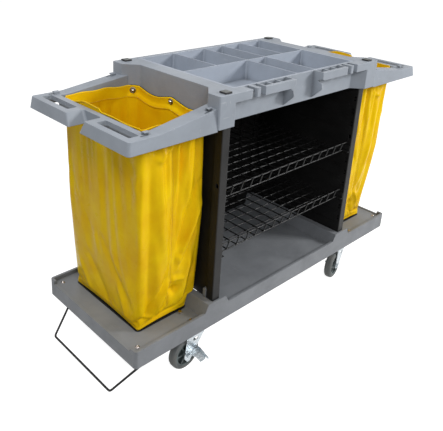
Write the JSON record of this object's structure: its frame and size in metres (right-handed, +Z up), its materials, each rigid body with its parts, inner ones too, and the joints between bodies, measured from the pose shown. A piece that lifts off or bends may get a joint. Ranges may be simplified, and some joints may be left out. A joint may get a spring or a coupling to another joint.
{
  "type": "housekeeping cart",
  "caption": "Long housekeeping cart: moulded base on swivel casters, shelved middle bay, divided top tray, tool rail, drop frames with nylon bags at both ends, wire foot loop.",
  "frame": {"origin": "on the floor under the middle of the base", "axes": "+Z up, +X along the length away from the wire loop, +Y towards the closed rear wall"},
  "size_m": [1.58, 0.5793, 1.0333],
  "materials": {
    "base_grey": "moulded, slightly grained",
    "top_grey": "moulded, smooth satin",
    "panel_black": "moulded, satin",
    "cap_black": "satin",
    "pad_grey": "satin",
    "board_black": "matt",
    "eyelet_metal": "polished",
    "stud_metal": "polished dome",
    "bag_nylon": "coated nylon, glossy with soft creases",
    "wire_black": "plastic-coated, semi-gloss",
    "clip_black": "semi-gloss",
    "screw_steel": "zinc plated",
    "caster_zinc": "bright zinc plated",
    "brake_zinc": "bright zinc plated",
    "hub_grey": "satin",
    "tyre_grey": "non-marking grey rubber"
  },
  "bodies": {
    "cart": {"bag_board_left": "board_black", "bag_board_right": "board_black", "bag_eyelets_left": "eyelet_metal", "bag_eyelets_right": "eyelet_metal", "bag_left": "bag_nylon", "bag_right": "bag_nylon", "bag_studs_left": "stud_metal", "bag_studs_right": "stud_metal", "base_platform": "base_grey", "caster_bolts": "screw_steel", "caster_plates": "caster_zinc", "deck_screws": "screw_steel", "drop_frame_left": "top_grey", "drop_frame_right": "top_grey", "post_cap_pads": "pad_grey", "post_caps": "cap_black", "rear_panel": "panel_black", "shelf_clips": "clip_black", "side_panel_left_lower": "panel_black", "side_panel_left_middle": "panel_black", "side_panel_left_upper": "panel_black", "side_panel_right_lower": "panel_black", "side_panel_right_middle": "panel_black", "side_panel_right_upper": "panel_black", "stirrup_clips": "clip_black", "top_frame": "top_grey"},
    "tray": {"tray_insert": "top_grey"},
    "shelf_lower": {"wire_shelf_lower": "wire_black"},
    "shelf_upper": {"wire_shelf_upper": "wire_black"},
    "stirrup": {"wire_stirrup": "wire_black"},
    "swivel_front_left": {"caster_fork_front_left": "caster_zinc", "caster_axle_front_left": "screw_steel"},
    "wheel_front_left": {"wheel_hub_front_left": "hub_grey", "wheel_tyre_front_left": "tyre_grey"},
    "brake_front_left": {"brake_lever_front_left": "brake_zinc"},
    "swivel_front_right": {"caster_fork_front_right": "caster_zinc", "caster_axle_front_right": "screw_steel"},
    "wheel_front_right": {"wheel_hub_front_right": "hub_grey", "wheel_tyre_front_right": "tyre_grey"},
    "swivel_rear_left": {"caster_fork_rear_left": "caster_zinc", "caster_axle_rear_left": "screw_steel"},
    "wheel_rear_left": {"wheel_hub_rear_left": "hub_grey", "wheel_tyre_rear_left": "tyre_grey"},
    "brake_rear_left": {"brake_lever_rear_left": "brake_zinc"},
    "swivel_rear_right": {"caster_fork_rear_right": "caster_zinc", "caster_axle_rear_right": "screw_steel"},
    "wheel_rear_right": {"wheel_hub_rear_right": "hub_grey", "wheel_tyre_rear_right": "tyre_grey"}
  },
  "joints": [
    {"name": "tray_lift", "type": "slide", "parent": "cart", "child": "tray", "axis": [0, 0, 1], "range_m": [0, 0.12]},
    {"name": "shelf_lower_slide", "type": "slide", "parent": "cart", "child": "shelf_lower", "axis": [0, -1, 0], "range_m": [0, 0.4]},
    {"name": "shelf_upper_slide", "type": "slide", "parent": "cart", "child": "shelf_upper", "axis": [0, -1, 0], "range_m": [0, 0.4]},
    {"name": "stirrup_fold", "type": "hinge", "parent": "cart", "child": "stirrup", "pos_m": [-0.655, 0, 0.152], "axis": [0, 1, 0], "range_deg": [0, 34]},
    {"name": "swivel_front_left", "type": "hinge", "parent": "cart", "child": "swivel_front_left", "pos_m": [-0.456, -0.216, 0.145], "axis": [0, 0, 1], "continuous": true},
    {"name": "spin_front_left", "type": "hinge", "parent": "swivel_front_left", "child": "wheel_front_left", "pos_m": [-0.494, -0.216, 0.0625], "axis": [0, 1, 0], "continuous": true},
    {"name": "brake_front_left", "type": "hinge", "parent": "swivel_front_left", "child": "brake_front_left", "pos_m": [-0.494, -0.216, 0.0625], "axis": [0, 1, 0], "range_deg": [0, 15]},
    {"name": "swivel_front_right", "type": "hinge", "parent": "cart", "child": "swivel_front_right", "pos_m": [0.456, -0.216, 0.145], "axis": [0, 0, 1], "continuous": true},
    {"name": "spin_front_right", "type": "hinge", "parent": "swivel_front_right", "child": "wheel_front_right", "pos_m": [0.41897, -0.22455, 0.0625], "axis": [-0.225, 0.9744, 0], "continuous": true},
    {"name": "swivel_rear_left", "type": "hinge", "parent": "cart", "child": "swivel_rear_left", "pos_m": [-0.456, 0.216, 0.145], "axis": [0, 0, 1], "continuous": true},
    {"name": "spin_rear_left", "type": "hinge", "parent": "swivel_rear_left", "child": "wheel_rear_left", "pos_m": [-0.49379, 0.21997, 0.0625], "axis": [0.1045, 0.9945, 0], "continuous": true},
    {"name": "brake_rear_left", "type": "hinge", "parent": "swivel_rear_left", "child": "brake_rear_left", "pos_m": [-0.49379, 0.21997, 0.0625], "axis": [0.1045, 0.9945, 0], "range_deg": [0, 15]},
    {"name": "swivel_rear_right", "type": "hinge", "parent": "cart", "child": "swivel_rear_right", "pos_m": [0.456, 0.216, 0.145], "axis": [0, 0, 1], "continuous": true},
    {"name": "spin_rear_right", "type": "hinge", "parent": "swivel_rear_right", "child": "wheel_rear_right", "pos_m": [0.41837, 0.21071, 0.0625], "axis": [-0.1392, 0.9903, 0], "continuous": true}
  ]
}
